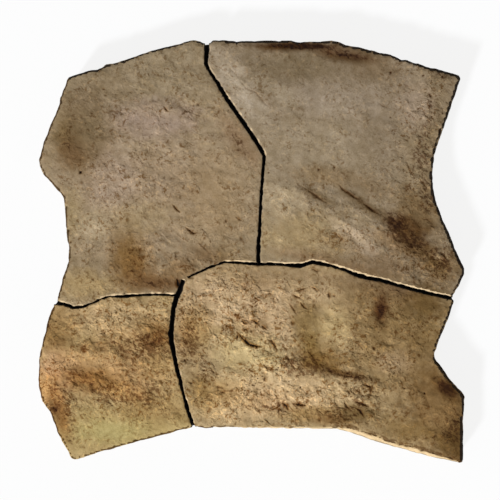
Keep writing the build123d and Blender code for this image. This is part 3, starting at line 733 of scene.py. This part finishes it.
def stoneMaterial():
    material = bpy.data.materials.new("cast_concrete_antiqued")
    material.use_nodes = True
    tree = material.node_tree
    tree.nodes.clear()
    node = partial(addNode, tree)
    colors = {name: linearColor(text) for name, text in castStone["colors"].items()}
    times = {"operation": "MULTIPLY"}
    plus = {"operation": "ADD"}
    multiplyAdd = {"operation": "MULTIPLY_ADD"}
    eased = {"interpolation_type": "SMOOTHSTEP"}
    lay = {"data_type": "RGBA"}
    glaze = {"data_type": "RGBA", "blend_type": "MULTIPLY"}
    fields = {name: node("Attribute", {"attribute_name": name}, None, "Fac")
              for name in ("rough", "hollow", "halo", "jointDepth", "rim", "rimSun", "wornEdge",
                           "undercut", "lip", *stains)}

    # places: still, pushed about by a few millimetres, and stretched down to the right
    places = {"still": node("TexCoord", None, None, "Object")}
    push = node("TexNoise", None,
                {"Vector": places["still"], "Scale": 1 / (castStone["pushSize"] * mm),
                 "Detail": 3.0, "Roughness": 0.6}, "Color")
    pushBy = castStone["push"] * mm
    places["pushed"] = node("VectorMath", multiplyAdd,
                            {0: push, 1: (pushBy, pushBy, 0.0), 2: places["still"]})
    places["stroked"] = node("Mapping", {"vector_type": "TEXTURE"},
                             {"Vector": places["pushed"], "Scale": (castStone["stretch"], 1, 1),
                              "Rotation": (0, 0, math.radians(castStone["strokeTurn"]))})
    pattern = {}
    for name, (size, detail, roughness, reads) in castStone["patterns"].items():
        pattern[name] = node("TexNoise", None,
                             {"Vector": places[reads], "Scale": 1 / (size * mm),
                              "Detail": detail, "Roughness": roughness}, "Fac")

    # tone of the ground, browner where it is darker
    noiseLow, noiseHigh = castStone["noiseRange"]
    tone = 1.0
    for name, (low, high) in castStone["tones"].items():
        part = node("MapRange", None,
                    {"Value": pattern[name], "From Min": noiseLow, "From Max": noiseHigh,
                     "To Min": low, "To Max": high})
        tone = node("Math", times, {0: tone, 1: part})
    raised = {"operation": "POWER"}
    redTone = node("Math", raised, {0: tone, 1: castStone["redPower"]})
    blueTone = node("Math", raised, {0: tone, 1: castStone["bluePower"]})
    toneColor = node("CombineColor", None, {0: redTone, 1: tone, 2: blueTone})
    color = node("Attribute", {"attribute_name": "tint"}, None, "Color")
    color = node("Mix", glaze, {0: 1.0, 6: color, 7: toneColor}, 2)

    # grain, stronger in patches
    grain = 0.0
    for name, part in castStone["grain"].items():
        part = node("Math", times, {0: pattern[name], 1: part})
        grain = node("Math", plus, {0: grain, 1: part})
    shares = {}
    for name, (reads, low, high, least, most) in castStone["shares"].items():
        shares[name] = node("MapRange", eased,
                            {"Value": pattern[reads], "From Min": low, "From Max": high,
                             "To Min": least, "To Max": most})
    grainRough = node("Math", times, {0: fields["rough"], 1: shares["patch"]})
    dabShare = node("Math", plus, {0: fields["rough"], 1: castStone["leastDab"]})
    dabShare = node("Math", times, {0: dabShare, 1: shares["patch"]})

    # the worn edge's cream, partly painted highlight, broken up by the strokes
    wornRagged = node("Math", multiplyAdd,
                      {0: pattern["strokes"], 1: castStone["wornHighlightRag"], 2: fields["wornEdge"]})
    wornRagged = node("Math", plus, {0: wornRagged, 1: -castStone["wornHighlightRag"] / 2})

    # masks, each laid with a number or with one of these strengths
    sources = {**pattern, **fields, "grain": grain, "wornRagged": wornRagged}
    strengths = {"grainRough": grainRough, "dabShare": dabShare, "swarm": shares["swarm"]}
    masks = {}
    for name, (reads, low, high, strength) in castStone["masks"].items():
        part = node("MapRange", eased, {"Value": sources[reads], "From Min": low, "From Max": high})
        masks[name] = node("Math", {"operation": "MULTIPLY", "use_clamp": True},
                           {0: part, 1: strengths.get(strength, strength)})

    # stains, and the pale painted highlight, with ragged edges: a soft field broken up by a pattern
    for name, rag, power, (low, high), tint, blend, strength in castStone["stains"]:
        part = node("MapRange", None,
                    {"Value": pattern[rag], "From Min": noiseLow, "From Max": noiseHigh,
                     "To Min": 1 - power / 2, "To Max": 1 + power / 2})
        part = node("Math", times, {0: part, 1: fields[name]})
        part = node("MapRange", eased,
                    {"Value": part, "From Min": low, "From Max": high, "To Max": strength})
        color = node("Mix", {"data_type": "RGBA", "blend_type": blend},
                     {0: part, 6: color, 7: colors[tint]}, 2)

    # dabs and specks of the face, then its cracks: an umber wash in them, and painted shade, near
    # black, in the deepest
    speckShare = node("Math", times, {0: masks["specks"], 1: fields["rough"]})
    for share, blend, tint in (
            # lighter rubbed spots, and painted highlight on the grain's raised peaks
            (masks["rubs"], glaze, castStone["rubAndHighlightGain"]), (masks["peaks"], glaze, castStone["rubAndHighlightGain"]),
            (masks["dabs"], glaze, colors["dabGlaze"]), (masks["pits"], glaze, colors["soilGlaze"]),
            (masks["halo"], glaze, colors["dabGlaze"]), (speckShare, lay, colors["speck"]),
            # the last is painted shade in the deepest cracks and holes
            (masks["hollow"], lay, colors["umber"]), (masks["deep"], lay, colors["black"])):
        color = node("Mix", blend, {0: share, 6: color, 7: tint}, 2)

    # along the outline: a line of painted shade, near black away from the light and dark brown toward
    # it, and the worn edge
    line = castStone["rim"]
    ragged = node("Math", multiplyAdd, {0: pattern["strokes"], 1: line["rag"], 2: fields["rim"]})
    rimShare = node("MapRange", eased,
                    {"Value": ragged, "From Min": line["from"], "From Max": line["full"],
                     "To Max": line["strength"]})
    darker = node("Mix", glaze, {0: 1.0, 6: color, 7: colors["edgeShadeGlaze"]}, 2)
    sunny = node("MapRange", eased, {"Value": fields["rimSun"], "From Min": -0.3, "From Max": 0.2})
    rimColor = node("Mix", lay, {0: sunny, 6: colors["rim"], 7: darker}, 2)
    color = node("Mix", lay, {0: rimShare, 6: color, 7: rimColor}, 2)
    # painted shade in the notches above the worn edge
    under = node("Math", times, {0: masks["undercut"], 1: shares["notch"]})
    rubbedHighlight = node("Mix", glaze, {0: 1.0, 6: colors["rubbedHighlight"], 7: toneColor}, 2)
    # then the worn edge's cream, part paler broken stone and part painted highlight, the painted
    # highlight on the lips, and the painted shade down the joints
    for share, tint in ((under, colors["speck"]), (masks["wornEdge"], rubbedHighlight),
                        (masks["lip"], colors["lip"]), (masks["jointShade"], colors["black"])):
        color = node("Mix", lay, {0: share, 6: color, 7: tint}, 2)

    # height in millimetres for the bump
    bump = castStone["bump"]
    height = node("Math", times, {0: grain, 1: bump["grain"]})
    fine = node("Math", times, {0: pattern["sand"], 1: bump["sand"]})
    height = node("Math", plus, {0: height, 1: fine})
    strength = node("Math", plus, {0: grainRough, 1: bump["least"]})
    height = node("Math", times, {0: height, 1: strength})
    height = node("Math", multiplyAdd, {0: speckShare, 1: bump["speck"], 2: height})
    normal = node("Bump", None, {"Distance": 1 * mm, "Height": height})
    surface = node("BsdfPrincipled", None,
                   {"Base Color": color, "Normal": normal, **castStone["surface"]})
    node("OutputMaterial", None, {"Surface": surface})
    return material


def makeSlab():
    bm = dicedSlab()
    bm.normal_update()
    refineCracks(bm)
    closeBed(bm)
    floorPlan = [f.calc_center_median()[:] for f in bm.faces if f.normal.z > 0.95
                 and abs(f.calc_center_median().z - slab["jointFloor"]) < slab["floorSlack"] / 2]
    data = bpy.data.meshes.new("slab")
    bm.to_mesh(data)
    bm.free()
    stage("sculpt the face")
    sculpt(data, floorPlan)
    piece = bpy.data.objects.new("slab", data)
    bpy.context.scene.collection.objects.link(piece)
    data.shade_smooth()
    data.set_sharp_from_angle(angle=math.radians(slab["sharpAngle"]))
    data.materials.append(stoneMaterial())
    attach(piece, "root")
    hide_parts(slab["node"])
    stage(f"slab has {sum(len(p.vertices) - 2 for p in data.polygons)} triangles")


# low sun from the lower left of the photo over a warm fill, and a floor that glows nearly white
light = {"sun": 4.0, "azimuth": 215, "elevation": 33, "softness": 7, "fill": 0.36,
         "fillColor": (1.0, 0.92, 0.78, 1.0), "floorColor": (0.82, 0.85, 0.9, 1.0),
         "floorHalf": 4, "floorGlow": 0.86}


def seenDirectly(tree):
    # 1 for rays of the camera and of mirror-like and clear surfaces
    seen = 0.0
    for kind in ("Is Camera Ray", "Is Glossy Ray", "Is Transmission Ray"):
        ray = addNode(tree, "LightPath", None, None, kind)
        seen = addNode(tree, "Math", {"operation": "MAXIMUM"}, {0: seen, 1: ray})
    return seen


def addFloor():
    bm = bmesh.new()
    bmesh.ops.create_grid(bm, x_segments=1, y_segments=1, size=light["floorHalf"])
    data = bpy.data.meshes.new("floor")
    bm.to_mesh(data)
    bm.free()
    floor = bpy.data.objects.new("floor", data)
    bpy.context.scene.collection.objects.link(floor)
    material = bpy.data.materials.new("studio_floor_paint")
    material.use_nodes = True
    tree = material.node_tree
    tree.nodes.clear()
    glowShare = {0: seenDirectly(tree), 1: light["floorGlow"]}
    share = addNode(tree, "Math", {"operation": "MULTIPLY"}, glowShare)
    paint = addNode(tree, "BsdfDiffuse", None, {"Color": light["floorColor"]})
    glow = addNode(tree, "Emission", None, {"Color": (1, 1, 1, 1), "Strength": 1.0})
    both = addNode(tree, "MixShader", None, {0: share, 1: paint, 2: glow})
    addNode(tree, "OutputMaterial", None, {"Surface": both})
    data.materials.append(material)


def addLight():
    data = bpy.data.lights.new("key", "SUN")
    data.energy = light["sun"]
    data.angle = math.radians(light["softness"])
    key = bpy.data.objects.new("key", data)
    azimuth = math.radians(light["azimuth"])
    elevation = math.radians(light["elevation"])
    towards = Vector((math.sin(azimuth) * math.cos(elevation),
                      math.cos(azimuth) * math.cos(elevation), math.sin(elevation)))
    key.rotation_euler = towards.to_track_quat("Z", "Y").to_euler()
    bpy.context.scene.collection.objects.link(key)
    world = bpy.data.worlds.new("studio")
    bpy.context.scene.world = world
    world.use_nodes = True
    tree = world.node_tree
    tree.nodes.clear()
    seen = seenDirectly(tree)
    strength = addNode(tree, "MapRange", None,
                       {"Value": seen, "To Min": light["fill"], "To Max": 1.0})
    shade = addNode(tree, "Mix", {"data_type": "RGBA"},
                    {0: seen, 6: light["fillColor"], 7: (1, 1, 1, 1)}, 2)
    sky = addNode(tree, "Background", None, {"Color": shade, "Strength": strength})
    addNode(tree, "OutputWorld", None, {"Surface": sky})


stage("camera, floor and light")
addCamera()
addFloor()
addLight()
stage("dice the slab")
makeSlab()
stage("done")
